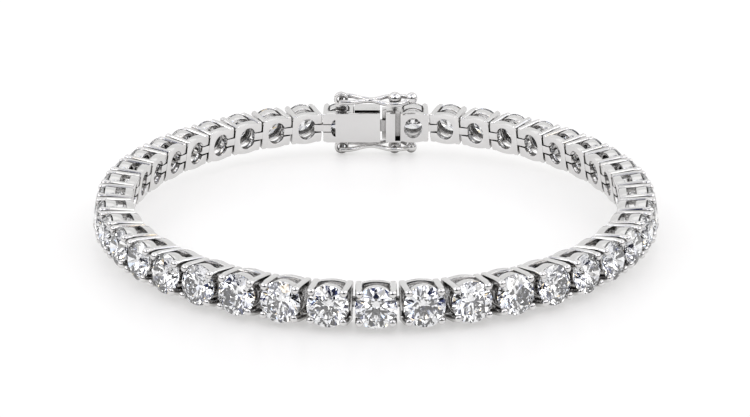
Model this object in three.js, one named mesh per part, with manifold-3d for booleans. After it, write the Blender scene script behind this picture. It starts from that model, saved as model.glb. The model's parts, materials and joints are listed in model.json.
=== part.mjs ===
// A tennis bracelet standing on its edge: a loop of claw-set round stones on hinged links, closed by a box
// clasp with two figure-8 safety catches. Millimetres, +Z up, stones facing outward, clasp at +Y.
// Each piece is drawn in the setter's frame: x along the chain, y across it, z outward from the wrist.

import * as THREE from "three";
import { mergeVertices } from "three/addons/utils/BufferGeometryUtils.js";
import { ConvexGeometry } from "three/addons/geometries/ConvexGeometry.js";
import Module from "manifold-3d";

const wasm = await Module();
wasm.setup();

// The chain
const LINKS_PER_SIDE = 19; // hinged links on each side of the front one
const PITCH = 4.2; // from one hinge pin to the next
const OVAL_RATIO = 0.95; // the loop's width over its depth
const LINK_GAP = 0.25; // between two neighbouring base plates
const FACE_LEAN = 10.5; // degrees that every stone faces upward, about its link's pin line

// The stones
const STONE_DIAMETER = 4.0;
const STONE_SIDES = 8;
const TABLE_SHARE = 0.56; // of the stone's diameter
const CROWN_HEIGHT = 0.62;
const PAVILION_DEPTH = 1.72;
const GIRDLE_LIFT = 3.2; // of the stone's widest line above the inner face

// The base plate of a link
const PLATE_THICKNESS = 0.85;
const PLATE_HEIGHT = 4.1;
const PLATE_CORNER = 0.45; // how far the outline is cut back at a corner
const HOLE_WIDTH = 2.3;
const HOLE_HEIGHT = 2.85;
const HOLE_SIDES = 10;

// The claws and the gallery rail
const CLAW_WIDTH = 0.62;
const CLAW_ALONG = 3.04; // between claw centres along the chain
const CLAW_ACROSS = 2.9; // between claw centres across it
const CLAW_SIDES = 4;
const CLAW_SHOULDER = 0.3; // above the girdle
const CLAW_TIP = 0.6; // above the girdle
const CLAW_LEAN = 0.2; // of the tip over the stone
const RAIL_THICKNESS = 0.36;
const RAIL_HEIGHT = 0.85;
const RAIL_LIFT = 1.75; // above the inner face

// The hinge between two links
const PIN_INSET = 0.45; // of the pin's axis from its plate's edge
const PIN_WIDTH = 0.25;
const PIN_CLEARANCE = 0.09;
const TAB_HEIGHT = 0.95;
const TAB_CLEARANCE = 0.15; // on each side of a tab in its slot
const TAB_WALL = 0.2; // past the pin's bore
const TAB_RECESS = 0.04; // of the tab's faces behind its plate's faces

// The box of the clasp
const END_STONE_SPACING = 9.45; // between the stones on each side of the clasp
const BOX_MOUTH = -0.55; // from the clasp's middle
const BOX_END = 2.7;
const BOX_DEPTH = 2.9;
const BOX_WALL = 0.45;
const BOX_SLIT_HEIGHT = 0.75;
const BOX_SLIT_LIFT = 0.3;
const BOX_SLIT_LENGTH = 3.8;
const CASE_SLOT = { along: 5.4, width: 0.42, height: 2.4 };
const EAR_ALONG = 4.4;
const EAR_LINE = 1.6; // the ears, posts and catches lie on this line above the inner face
const EAR_REACH = 3.4; // the hole's centre from the middle of the chain
const EAR_RADIUS = 0.92;
const EAR_HOLE_RADIUS = 0.5;
const EAR_THICKNESS = 0.7;
const EAR_SIDES = 10;
const LUG_WIDTH = 1.4;
const LUG_DEPTH = 0.9;

// The tongue of the clasp
const MOUTH_GAP = 0.7;
const HEAD_WIDTH = 1.2;
const HEAD_DEPTH = 2.0;
const STOP_LENGTH = 0.45; // the head's step, which meets the box's mouth
const STOP_LIFT = 1.0;
const GROOVE_WIDTH = 0.68;
const GROOVE_DEPTH = 0.7;
const GROOVE_FLOOR = 0.25; // material left at the groove's lower end
const TONGUE_HEIGHT = 1.6;
const TONGUE_THICKNESS = 0.4;
const TONGUE_CLEARANCE = 0.22;
const POST_ALONG = -2.42;
const POST_RADIUS = 0.3;
const POST_BEAD_RADIUS = 0.85;
const POST_BEAD_REACH = 3.47;

// The safety catches
const WIRE_RADIUS = 0.3;
const WIRE_SIDES = 5;
const WIRE_STEPS = 10;
const CATCH_BALL_RADIUS = 0.75;
const CATCH_BALL = { along: -4.55, reach: 3.5 };
const CATCH_SIDE_CLEARANCE = 0.3;
const BEAD_CLEARANCE = 0.1;
const BEAD_SIDES = 10;
const BEAD_RINGS = 5;

// Worked out from the values above
const PLATE_WIDTH = PITCH - LINK_GAP;
const PIN_ALONG = PLATE_WIDTH / 2 - PIN_INSET;
const PIN_LINE = PLATE_THICKNESS / 2;
const EYE_ALONG = PITCH - PIN_ALONG; // a tab's bore from its own link's middle
const BORE_WIDTH = PIN_WIDTH + 2 * PIN_CLEARANCE;
const TAB_END = EYE_ALONG + BORE_WIDTH / 2 + TAB_WALL;
const SLOT_HEIGHT = TAB_HEIGHT + 2 * TAB_CLEARANCE;
const END_STONE = END_STONE_SPACING / 2;
const CLASP_EYE = END_STONE + EYE_ALONG;
const HEAD_START = BOX_MOUTH - MOUTH_GAP;
const GROOVE_START = HEAD_START - HEAD_WIDTH;
const OVERLAP = 0.1; // how far joined shapes run into each other

const WHITE_GOLD = { color: 0xdcdde0, roughness: 0.16, metalness: 1.0 };

function solid(geometry) {
  const bare = geometry.clone();
  bare.deleteAttribute("normal");
  bare.deleteAttribute("uv");
  const merged = mergeVertices(bare, 1e-5);
  const vertProperties = new Float32Array(merged.attributes.position.array);
  const triVerts = new Uint32Array(merged.index.array);
  return new wasm.Manifold(new wasm.Mesh({ numProp: 3, vertProperties, triVerts }));
}

function union(solids) {
  return solids.reduce((whole, next) => whole.add(next));
}

function toGeometry(manifold) {
  const mesh = manifold.getMesh();
  const geometry = new THREE.BufferGeometry();
  geometry.setAttribute("position", new THREE.BufferAttribute(new Float32Array(mesh.vertProperties), 3));
  geometry.setIndex(new THREE.BufferAttribute(new Uint32Array(mesh.triVerts), 1));
  const flat = geometry.toNonIndexed();
  flat.computeVertexNormals();
  return flat;
}

// A box given by its reach along x, y and z, each as [low, high].
function block([x0, x1], [y0, y1], [z0, z1]) {
  const geometry = new THREE.BoxGeometry(x1 - x0, y1 - y0, z1 - z0);
  geometry.translate((x0 + x1) / 2, (y0 + y1) / 2, (z0 + z1) / 2);
  return solid(geometry);
}

function prism(points, z0, z1) {
  const shape = new THREE.Shape(points.map(([x, y]) => new THREE.Vector2(x, y)));
  const geometry = new THREE.ExtrudeGeometry(shape, { depth: z1 - z0, bevelEnabled: false, steps: 1 });
  geometry.translate(0, 0, z0);
  return solid(geometry);
}

// The same points in all four quarters, in order round the middle.
function fourFold(quarter) {
  const back = [...quarter].reverse();
  return [
    ...quarter.map(([x, y]) => [x, y]),
    ...back.map(([x, y]) => [-x, y]),
    ...quarter.map(([x, y]) => [-x, -y]),
    ...back.map(([x, y]) => [x, -y]),
  ];
}

function ovalPoints(width, height, sides, middle) {
  const points = [];
  for (let i = 0; i < sides; i += 1) {
    const angle = ((i + 0.5) / sides) * 2 * Math.PI;
    points.push([middle + (width / 2) * Math.cos(angle), (height / 2) * Math.sin(angle)]);
  }
  return points;
}

// A cut stone: a table, a ring of crown facets, a sharp girdle and a pointed pavilion.
function stone() {
  const points = [new THREE.Vector3(0, 0, GIRDLE_LIFT - PAVILION_DEPTH)];
  const radius = STONE_DIAMETER / 2;
  const top = GIRDLE_LIFT + CROWN_HEIGHT;
  for (let i = 0; i < STONE_SIDES; i += 1) {
    const angle = ((i + 0.5) / STONE_SIDES) * 2 * Math.PI;
    const x = radius * Math.cos(angle);
    const y = radius * Math.sin(angle);
    points.push(new THREE.Vector3(x, y, GIRDLE_LIFT));
    points.push(new THREE.Vector3(x * TABLE_SHARE, y * TABLE_SHARE, top));
  }
  return solid(new ConvexGeometry(points));
}

// One claw: a square bar from the base plate to the girdle, with a point that leans over the stone.
function claw(along, across) {
  const foot = PLATE_THICKNESS - OVERLAP;
  const shoulder = GIRDLE_LIFT + CLAW_SHOULDER;
  const reach = CLAW_WIDTH / 2 / Math.cos(Math.PI / CLAW_SIDES);
  const points = [];
  const toStone = Math.atan2(across, along);
  for (let i = 0; i < CLAW_SIDES; i += 1) {
    const angle = toStone + ((i + 0.5) / CLAW_SIDES) * 2 * Math.PI;
    const x = along + reach * Math.cos(angle);
    const y = across + reach * Math.sin(angle);
    points.push(new THREE.Vector3(x, y, foot));
    points.push(new THREE.Vector3(x, y, shoulder));
  }
  const inward = 1 - CLAW_LEAN / Math.hypot(along, across);
  points.push(new THREE.Vector3(along * inward, across * inward, GIRDLE_LIFT + CLAW_TIP));
  return solid(new ConvexGeometry(points));
}

// The rail's bar between the two claws on the +y side, its ends inside the claws.
function railBar() {
  const middle = CLAW_ACROSS / 2;
  const half = RAIL_THICKNESS / 2;
  const reach = CLAW_ALONG / 2;
  return block([-reach, reach], [middle - half, middle + half], [RAIL_LIFT, RAIL_LIFT + RAIL_HEIGHT]);
}

function rotatedHalfTurn(manifold) {
  return manifold.rotate([0, 0, 180]);
}

// The stone with its four claws and the gallery rail's two bars, above a plate that is added later.
function setting() {
  const x = CLAW_ALONG / 2;
  const y = CLAW_ACROSS / 2;
  const claws = [claw(x, y), claw(-x, y), claw(-x, -y), claw(x, -y)];
  return union([...claws, railBar(), rotatedHalfTurn(railBar()), stone()]);
}

function platePoints() {
  const x = PLATE_WIDTH / 2;
  const y = PLATE_HEIGHT / 2;
  return fourFold([
    [x, y - 1.2 * PLATE_CORNER],
    [x - PLATE_CORNER, y],
  ]);
}

function plate() {
  const hole = prism(ovalPoints(HOLE_WIDTH, HOLE_HEIGHT, HOLE_SIDES, 0), -1, PLATE_THICKNESS + 1);
  return prism(platePoints(), 0, PLATE_THICKNESS).subtract(hole);
}

// The slot on a plate's +x side, from its edge into its hole.
function slotCut() {
  const half = SLOT_HEIGHT / 2;
  return block([HOLE_WIDTH / 4, PITCH / 2], [-half, half], [-1, PLATE_THICKNESS + 1]);
}

// The hinge pin across the slot, with its ends in the slot's walls.
function pin() {
  const half = PIN_WIDTH / 2;
  const reach = SLOT_HEIGHT / 2 + OVERLAP;
  return block([PIN_ALONG - half, PIN_ALONG + half], [-reach, reach], [PIN_LINE - half, PIN_LINE + half]);
}

// The tab on a plate's -x side, bored for the neighbour's pin.
function tab() {
  const half = TAB_HEIGHT / 2;
  const edge = PLATE_WIDTH / 2 - OVERLAP;
  const bar = block([-TAB_END, -edge], [-half, half], [TAB_RECESS, PLATE_THICKNESS - TAB_RECESS]);
  const gap = BORE_WIDTH / 2;
  const bore = block([-EYE_ALONG - gap, -EYE_ALONG + gap], [-PITCH, PITCH], [PIN_LINE - gap, PIN_LINE + gap]);
  return bar.subtract(bore);
}

// A hinged link with its tab toward -x and its socket toward +x.
function link() {
  return union([plate().subtract(slotCut()), pin(), tab(), setting()]);
}

// The front link, which takes a tab on each side.
function frontLink() {
  const base = plate().subtract(slotCut()).subtract(rotatedHalfTurn(slotCut()));
  return union([base, pin(), rotatedHalfTurn(pin()), setting()]);
}

// Mirrored copies at the upper and the lower edge of the clasp.
function bothEdges(manifold) {
  return union([manifold, manifold.mirror([0, 1, 0])]);
}

function ear() {
  const turn = (radius) => new THREE.CylinderGeometry(radius, radius, EAR_THICKNESS, EAR_SIDES).rotateX(Math.PI / 2);
  const ring = solid(turn(EAR_RADIUS).translate(EAR_ALONG, EAR_REACH, EAR_LINE));
  const top = PLATE_HEIGHT / 2;
  const half = EAR_THICKNESS / 2;
  const foot = block(
    [EAR_ALONG - LUG_WIDTH / 2, EAR_ALONG + LUG_WIDTH / 2],
    [top - OVERLAP, EAR_REACH - EAR_HOLE_RADIUS - OVERLAP],
    [EAR_LINE - half, EAR_LINE + half],
  );
  const lug = block(
    [EAR_ALONG - LUG_WIDTH / 2, EAR_ALONG + LUG_WIDTH / 2],
    [top - LUG_DEPTH, top],
    [PLATE_THICKNESS - OVERLAP, EAR_LINE + half],
  );
  const hole = solid(
    new THREE.CylinderGeometry(EAR_HOLE_RADIUS, EAR_HOLE_RADIUS, BOX_DEPTH, EAR_SIDES)
      .rotateX(Math.PI / 2)
      .translate(EAR_ALONG, EAR_REACH, EAR_LINE),
  );
  return union([ring, foot, lug]).subtract(hole);
}

// The end link at the clasp's +x side, soldered to the hollow box, with an ear at each edge.
function claspBox() {
  const y = PLATE_HEIGHT / 2;
  const caseEnd = END_STONE + PLATE_WIDTH / 2;
  const base = block([BOX_MOUTH, caseEnd], [-y, y], [0, PLATE_THICKNESS]);
  const chest = block([BOX_MOUTH, BOX_END], [-y, y], [0, BOX_DEPTH]);
  const chamber = block(
    [BOX_MOUTH - 1, BOX_END - BOX_WALL],
    [BOX_WALL - y, y - BOX_WALL],
    [BOX_WALL, BOX_DEPTH - BOX_WALL],
  );
  const slit = block(
    [BOX_MOUTH - 1, BOX_MOUTH + BOX_SLIT_LENGTH],
    [y - 1.5 * BOX_WALL, y + 1],
    [BOX_SLIT_LIFT, BOX_SLIT_LIFT + BOX_SLIT_HEIGHT],
  );
  const caseSlot = block(
    [CASE_SLOT.along - CASE_SLOT.width / 2, CASE_SLOT.along + CASE_SLOT.width / 2],
    [-CASE_SLOT.height / 2, CASE_SLOT.height / 2],
    [-1, PLATE_THICKNESS + OVERLAP],
  );
  const body = union([base, chest]).subtract(chamber).subtract(slit).subtract(caseSlot);
  const endTab = rotatedHalfTurn(tab()).translate([END_STONE, 0, 0]);
  return union([body, endTab, setting().translate([END_STONE, 0, 0]), bothEdges(ear())]);
}

function bead(radius, along, reach) {
  const geometry = new THREE.SphereGeometry(radius, BEAD_SIDES, BEAD_RINGS);
  return solid(geometry.translate(along, reach, EAR_LINE));
}

function ballPost() {
  const length = POST_BEAD_REACH - PLATE_HEIGHT / 2 + OVERLAP;
  const stem = new THREE.CylinderGeometry(POST_RADIUS, POST_RADIUS, length, WIRE_SIDES);
  stem.translate(POST_ALONG, POST_BEAD_REACH - length / 2, EAR_LINE);
  return union([solid(stem), bead(POST_BEAD_RADIUS, POST_ALONG, POST_BEAD_REACH)]);
}

// The folded spring tongue, drawn from the side, lying inside the box's chamber.
function springTongue() {
  const low = BOX_WALL + TONGUE_CLEARANCE;
  const far = BOX_END - BOX_WALL - TONGUE_CLEARANCE;
  const high = BOX_DEPTH - BOX_WALL - TONGUE_CLEARANCE;
  const t = TONGUE_THICKNESS;
  const profile = [
    [HEAD_START - OVERLAP, low],
    [far - t / 2, low],
    [far, low + t],
    [BOX_MOUTH + t, high],
    [BOX_MOUTH + t / 2, high - t / 2],
    [far - 1.5 * t, low + t],
    [HEAD_START - OVERLAP, low + t],
  ];
  const upright = prism(profile, -TONGUE_HEIGHT / 2, TONGUE_HEIGHT / 2);
  return upright.rotate([90, 0, 0]);
}

// The end link at the clasp's -x side, soldered to the tongue's head, with a ball post at each edge.
function claspTongue() {
  const y = PLATE_HEIGHT / 2;
  const grooveEnd = GROOVE_START - GROOVE_WIDTH;
  const plateEnd = -END_STONE - PLATE_WIDTH / 2;
  const head = block([grooveEnd, HEAD_START], [-y, y], [0, HEAD_DEPTH]);
  const stop = block([HEAD_START - OVERLAP, HEAD_START + STOP_LENGTH], [-y, y], [STOP_LIFT, HEAD_DEPTH]);
  const base = block([plateEnd, grooveEnd + OVERLAP], [-y, y], [0, PLATE_THICKNESS]);
  const hole = prism(ovalPoints(HOLE_WIDTH, HOLE_HEIGHT, HOLE_SIDES, -END_STONE), -1, PLATE_THICKNESS + OVERLAP);
  const groove = block([grooveEnd, GROOVE_START], [GROOVE_FLOOR - y, y + 1], [-1, GROOVE_DEPTH]);
  const body = union([head, stop, base]).subtract(hole).subtract(groove);
  const endTab = tab().translate([-END_STONE, 0, 0]);
  const endSetting = setting().translate([-END_STONE, 0, 0]);
  return union([body, endTab, endSetting, springTongue(), bothEdges(ballPost())]);
}

// One strand of the figure-8 wire, from the hinge bar round the ball post to the end ball.
function strand(side) {
  const wide = EAR_THICKNESS / 2 + CATCH_SIDE_CLEARANCE + WIRE_RADIUS;
  const round = POST_BEAD_RADIUS + WIRE_RADIUS + BEAD_CLEARANCE;
  const reach = EAR_REACH;
  const span = EAR_ALONG - POST_ALONG;
  const places = [
    { along: EAR_ALONG, aside: wide, reach },
    { along: EAR_ALONG - 0.2 * span, aside: 0.95 * wide, reach: reach - 0.05 },
    { along: EAR_ALONG - 0.45 * span, aside: 0.9 * WIRE_RADIUS, reach: reach - 0.15 },
    { along: EAR_ALONG - 0.62 * span, aside: 0.9 * WIRE_RADIUS, reach: reach - 0.2 },
    { along: POST_ALONG + 0.13 * span, aside: 0.9 * round, reach: reach - 0.22 },
    { along: POST_ALONG, aside: round, reach: reach - 0.22 },
    { along: POST_ALONG - 0.14 * span, aside: 0.8 * round, reach: reach - 0.15 },
    { along: CATCH_BALL.along, aside: 0.3 * WIRE_RADIUS, reach: CATCH_BALL.reach },
  ];
  const points = places.map((p) => new THREE.Vector3(p.along, p.reach, EAR_LINE + side * p.aside));
  const path = new THREE.CatmullRomCurve3(points, false, "centripetal");
  const section = new THREE.Shape();
  for (let i = 0; i < WIRE_SIDES; i += 1) {
    const angle = (i / WIRE_SIDES) * 2 * Math.PI;
    const x = WIRE_RADIUS * Math.cos(angle);
    const y = WIRE_RADIUS * Math.sin(angle);
    if (i === 0) section.moveTo(x, y);
    else section.lineTo(x, y);
  }
  return solid(new THREE.ExtrudeGeometry(section, { steps: WIRE_STEPS, extrudePath: path, bevelEnabled: false }));
}

// The figure-8 catch at the upper edge: a hinge bar through the ear, two strands and an end ball.
function catchWire() {
  const wide = EAR_THICKNESS / 2 + CATCH_SIDE_CLEARANCE + WIRE_RADIUS;
  const bar = new THREE.CylinderGeometry(WIRE_RADIUS, WIRE_RADIUS, 2 * wide + WIRE_RADIUS, WIRE_SIDES);
  bar.rotateX(Math.PI / 2).translate(EAR_ALONG, EAR_REACH, EAR_LINE);
  const ball = bead(CATCH_BALL_RADIUS, CATCH_BALL.along, CATCH_BALL.reach);
  return union([solid(bar), strand(1), strand(-1), ball]);
}

// The oval that the hinge pins lie on, by the angle from its front.
function ovalPoint(depth, angle) {
  return new THREE.Vector2(OVAL_RATIO * depth * Math.sin(angle), -depth * Math.cos(angle));
}

function solve(low, high, tooLow) {
  let a = low;
  let b = high;
  for (let i = 0; i < 60; i += 1) {
    const middle = (a + b) / 2;
    if (tooLow(middle)) a = middle;
    else b = middle;
  }
  return (a + b) / 2;
}

// The pins of the right-hand half, stepped off the oval one pitch at a time from the front link.
function pinWalk(depth) {
  const start = solve(0, Math.PI / 2, (angle) => ovalPoint(depth, angle).x < PIN_ALONG);
  const pins = [ovalPoint(depth, start)];
  let angle = start;
  for (let k = 0; k < LINKS_PER_SIDE; k += 1) {
    const from = pins[k];
    angle = solve(angle, angle + 1, (next) => ovalPoint(depth, next).distanceTo(from) < PITCH);
    pins.push(ovalPoint(depth, angle));
  }
  return pins;
}

// The oval's half-depth at which the last pin meets the clasp's eye.
function closingDepth() {
  const most = LINKS_PER_SIDE * PITCH;
  const least = most / 4;
  return solve(least, most, (depth) => {
    const pins = pinWalk(depth);
    const last = pins[pins.length - 1];
    return last.x < CLASP_EYE && last.y > 0;
  });
}

function namedMesh(name, geometry) {
  const mesh = new THREE.Mesh(geometry, new THREE.MeshStandardMaterial(WHITE_GOLD));
  mesh.name = name;
  return mesh;
}

// Puts a piece with its pin line's middle at a place on the loop; heading 0 runs along +X, outward is -Y.
function place(mesh, x, y, heading) {
  mesh.rotation.set(Math.PI / 2 - THREE.MathUtils.degToRad(FACE_LEAN), 0, heading, "ZYX");
  mesh.position.set(x, y, 0);
  mesh.translateZ(-PIN_LINE);
  return mesh;
}

function twoDigits(number) {
  return String(number).padStart(2, "0");
}

function addChain(loop, pins) {
  const rightLink = toGeometry(link());
  const leftLink = rightLink.clone().rotateZ(Math.PI);
  const front = namedMesh("link_front", toGeometry(frontLink()));
  loop.add(place(front, 0, pins[0].y, 0));
  for (let k = 1; k <= LINKS_PER_SIDE; k += 1) {
    const along = pins[k].clone().sub(pins[k - 1]).normalize();
    const middle = pins[k - 1].clone().addScaledVector(along, EYE_ALONG);
    const heading = Math.atan2(along.y, along.x);
    const right = namedMesh(`link_right_${twoDigits(k)}`, rightLink.clone());
    const left = namedMesh(`link_left_${twoDigits(k)}`, leftLink.clone());
    loop.add(place(right, middle.x, middle.y, heading));
    loop.add(place(left, -middle.x, middle.y, -heading));
  }
}

function addClasp(loop, pins) {
  const y = pins[pins.length - 1].y;
  const upper = catchWire();
  const pieces = {
    clasp_box: claspBox(),
    clasp_tongue: claspTongue(),
    safety_catch_top: upper,
    safety_catch_bottom: upper.mirror([0, 1, 0]),
  };
  for (const [name, piece] of Object.entries(pieces)) {
    loop.add(place(namedMesh(name, toGeometry(piece)), 0, y, Math.PI));
  }
}

// All corners of the loop's pieces, in the loop's own frame.
function corners(loop) {
  loop.updateMatrixWorld(true);
  const points = [];
  for (const mesh of loop.children) {
    const spots = mesh.geometry.attributes.position;
    for (let i = 0; i < spots.count; i += 1) {
      points.push(new THREE.Vector3().fromBufferAttribute(spots, i).applyMatrix4(mesh.matrixWorld));
    }
  }
  return points;
}

// The lowest height on the clasp's side (1) or the front side (-1) of the loop tipped by an angle.
function lowest(points, side, angle) {
  const heights = points.filter((p) => p.y * side > 0).map((p) => p.y * Math.sin(angle) + p.z * Math.cos(angle));
  return heights.reduce((low, height) => Math.min(low, height), Infinity);
}

// Tips the loop so that the front link and the clasp's lower ear rest on z = 0, and centres it.
function rest(loop) {
  const points = corners(loop);
  loop.rotation.x = solve(0, 0.2, (angle) => lowest(points, 1, angle) < lowest(points, -1, angle));
  const whole = new THREE.Group();
  whole.add(loop);
  whole.updateMatrixWorld(true);
  const box = new THREE.Box3().setFromObject(whole, true);
  const middle = box.getCenter(new THREE.Vector3());
  loop.position.set(-middle.x, -middle.y, -box.min.z);
  return whole;
}

function bracelet() {
  const pins = pinWalk(closingDepth());
  const loop = new THREE.Group();
  addChain(loop, pins);
  addClasp(loop, pins);
  return rest(loop);
}

export default bracelet();
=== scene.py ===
"""Dresses the tennis bracelet's frame: white gold settings, faceted brilliants, clasp and catches."""
import json
import math

import bmesh
import bpy
from mathutils import Matrix, Vector


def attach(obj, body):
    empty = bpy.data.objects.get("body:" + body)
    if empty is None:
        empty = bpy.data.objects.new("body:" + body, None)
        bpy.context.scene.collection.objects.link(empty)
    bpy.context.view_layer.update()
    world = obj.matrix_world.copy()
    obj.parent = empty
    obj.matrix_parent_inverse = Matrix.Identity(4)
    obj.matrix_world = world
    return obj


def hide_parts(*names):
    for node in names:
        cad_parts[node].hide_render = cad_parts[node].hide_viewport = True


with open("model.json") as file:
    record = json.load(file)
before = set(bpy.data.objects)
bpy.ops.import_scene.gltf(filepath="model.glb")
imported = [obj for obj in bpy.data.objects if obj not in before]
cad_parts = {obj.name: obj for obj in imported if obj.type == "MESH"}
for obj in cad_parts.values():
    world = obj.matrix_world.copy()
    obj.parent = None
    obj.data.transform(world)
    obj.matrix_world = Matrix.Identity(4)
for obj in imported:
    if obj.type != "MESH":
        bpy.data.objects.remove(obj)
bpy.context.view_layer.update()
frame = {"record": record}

MM = 0.001

# The chain, in millimetres, as the solids have it
LINKS_PER_SIDE = 19
PITCH = 4.2
OVAL_RATIO = 0.95
LINK_GAP = 0.25
FACE_LEAN = math.radians(10.5)
PLATE_THICKNESS = 0.85
PLATE_HEIGHT = 4.1
PIN_INSET = 0.45
END_STONE_SPACING = 9.45
END_STONE = END_STONE_SPACING / 2
PLATE_WIDTH = PITCH - LINK_GAP
PIN_ALONG = PLATE_WIDTH / 2 - PIN_INSET
PIN_LINE = PLATE_THICKNESS / 2
EYE_ALONG = PITCH - PIN_ALONG
CLASP_EYE = END_STONE + EYE_ALONG
SOLVE_STEPS = 60

# The base plate's smooth outline, its hole, slot, tab and pin
PLATE_CORNER = 0.62
PLATE_BULGE = 0.2
HOLE_WIDTH = 2.3
HOLE_HEIGHT = 2.85
SLOT_HALF = 0.625
TAB_HALF = 0.475
TAB_RECESS = 0.04
TAB_WALL = 0.2
BORE_RADIUS = 0.215
TAB_END = EYE_ALONG + BORE_RADIUS + TAB_WALL
PIN_RADIUS = 0.125
PLATE_CORNER_STEPS = 6
PLATE_BOW_STEPS = 12
HOLE_STEPS = 48
OPEN_HOLE_STEPS = 44

# How far a solid reaches into the one it is joined to, and a cutter past what it cuts
OVERLAP = 0.1
CUT_PAST = 1

# The rounding of edges
EDGE = 0.07
BODY_EDGE = 0.1
STOP_EDGE = 0.04
TONGUE_EDGE = 0.05
# edges that turn more than this are rounded
SHARP_ANGLE = math.radians(40)
# metal shades smooth over edges that turn less than this
SMOOTH_ANGLE = math.radians(38)

# Claws and the gallery rail
CLAW_ALONG = 3.26
CLAW_ACROSS = 2.86
# a claw's foot stands this much further out across the chain than its tip
CLAW_SPREAD = 0.2
# height above the inner face, half-width, squareness of the section, lean towards the stone
CLAW_SECTIONS = [
    (0.02, 0.270, 5.5, 0.00),
    (0.10, 0.335, 5.5, 0.00),
    (2.70, 0.335, 5.5, 0.00),
    (2.95, 0.330, 4.0, 0.01),
    (3.12, 0.335, 2.6, 0.03),
    (3.28, 0.380, 2.1, 0.06),
    (3.45, 0.405, 2.0, 0.09),
    (3.60, 0.385, 2.0, 0.11),
    (3.72, 0.310, 2.0, 0.12),
    (3.79, 0.190, 2.0, 0.12),
]
CLAW_TOP = 3.82
CLAW_POINTS = 16
RAIL_OUTER = 1.99
RAIL_INNER = 1.6
RAIL_LOW = 1.88
RAIL_SEAT = 2.76
RAIL_LIP = 3.04
RAIL_ROUNDING = 0.1
RAIL_STEPS = 56
# the rail's rim: inward from its outer side, down from its lip
RAIL_RIM = [(0.0, 0.08), (0.03, 0.02), (0.08, 0.03)]
# the seat's lower edge: outward from the inner side, down from the seat
RAIL_SEAT_EDGE = [(0.02, 0.0), (0.0, 0.04)]
CORNER_POINTS = 4

# The round brilliant
STONE_RADIUS = 2.0
STONE_FOLD = 8
FACET_TURN = 360 / STONE_FOLD
HALF_FACET = FACET_TURN / 2
GIRDLE_LIFT = 3.2
TABLE_SHARE = 0.57
STAR_SHARE = 0.775
LOWER_SHARE = 0.24
CROWN_ANGLE = math.radians(34.5)
PAVILION_ANGLE = math.radians(40.8)
GIRDLE_HALF = 0.03
GIRDLE_ARC_STEPS = 4
GIRDLE_SCALLOP = 0.8

# The clasp's box
BOX_MOUTH = -0.55
BOX_END = 2.7
BOX_DEPTH = 2.9
BOX_WALL = 0.45
BOX_SLIT = {"low": 0.3, "high": 1.05, "length": 3.8}
CASE_SLOT = {"along": 5.12, "width": 0.6, "height": 2.4}
CASE_SLOT_STEPS = 16
# the lines beside the tab: where they start, as a share of the slot's width
TAB_LINE_START = 0.9
TAB_LINE = 0.12
TAB_LINE_DEPTH = 0.5
EAR_ALONG = 4.4
EAR_LINE = 1.6
EAR_REACH = 3.4
EAR_RADIUS = 0.92
EAR_HOLE_RADIUS = 0.5
EAR_THICKNESS = 0.7
EAR_ROUNDING = 0.16
EAR_STEPS = 40
LUG_HALF = 0.7
LUG_DEPTH = 0.9

# The clasp's tongue
MOUTH_GAP = 0.7
HEAD_START = BOX_MOUTH - MOUTH_GAP
HEAD_WIDTH = 1.2
HEAD_DEPTH = 2.0
STOP_LENGTH = 0.45
STOP_LIFT = 1.0
GROOVE_WIDTH = 0.68
GROOVE_DEPTH = 0.7
GROOVE_FLOOR = 0.25
TONGUE_HALF = 0.8
TONGUE_THICKNESS = 0.4
TONGUE_CLEARANCE = 0.22
POST_ALONG = -2.42
POST_RADIUS = 0.3
POST_BEAD_RADIUS = 0.85
POST_BEAD_REACH = 3.47

# The safety catches
WIRE_RADIUS = 0.3
CATCH_BALL_RADIUS = 0.75
CATCH_BALL_ALONG = -4.55
CATCH_BALL_REACH = 3.5
CATCH_GAP = 0.3
CATCH_SIDE = EAR_THICKNESS / 2 + CATCH_GAP + WIRE_RADIUS
BEAD_CLEARANCE = 0.1
BEAD_SIDE = POST_BEAD_RADIUS + WIRE_RADIUS + BEAD_CLEARANCE
# one wire: share of the way from the ear to the post, aside from the catch's middle,
# and how much nearer to the clasp than the ear
STRAND_PLACES = [
    (0.00, CATCH_SIDE, 0.00),
    (0.20, 0.95 * CATCH_SIDE, 0.05),
    (0.45, 0.9 * WIRE_RADIUS, 0.15),
    (0.62, 0.9 * WIRE_RADIUS, 0.20),
    (0.87, 0.9 * BEAD_SIDE, 0.22),
    (1.00, BEAD_SIDE, 0.22),
    (1.14, 0.8 * BEAD_SIDE, 0.15),
]
STRAND_STEPS = 10

# The camera, in the loop's own frame, from the fit to the photo
VIEW_FOCAL_PX = 1668.0
VIEW_SIDE = -0.105
VIEW_BACK = 175.17
VIEW_UP = 61.90
VIEW_TILT = 0.3447
PHOTO_WIDTH = 750.0
SENSOR_WIDTH = 36

# The studio tent: its grey by height (the sine of the angle over the horizon)
SKY_HEIGHTS = [
    (0.00, 0.03),
    (0.10, 0.05),
    (0.22, 0.80),
    (0.50, 1.50),
    (0.78, 1.40),
    (0.92, 0.90),
    (1.00, 0.80),
]
PANEL_SCALE = 12.0
# panels of the tent: where each kind starts in a random 0 to 1, and its colour
PANEL_SHARES = [
    (0.00, (0.04, 0.05, 0.13)),
    (0.26, (0.86, 0.87, 0.94)),
    (0.62, (2.20, 2.18, 2.15)),
    (0.955, (1.20, 1.50, 2.10)),
    (0.975, (2.20, 1.80, 1.20)),
]
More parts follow.
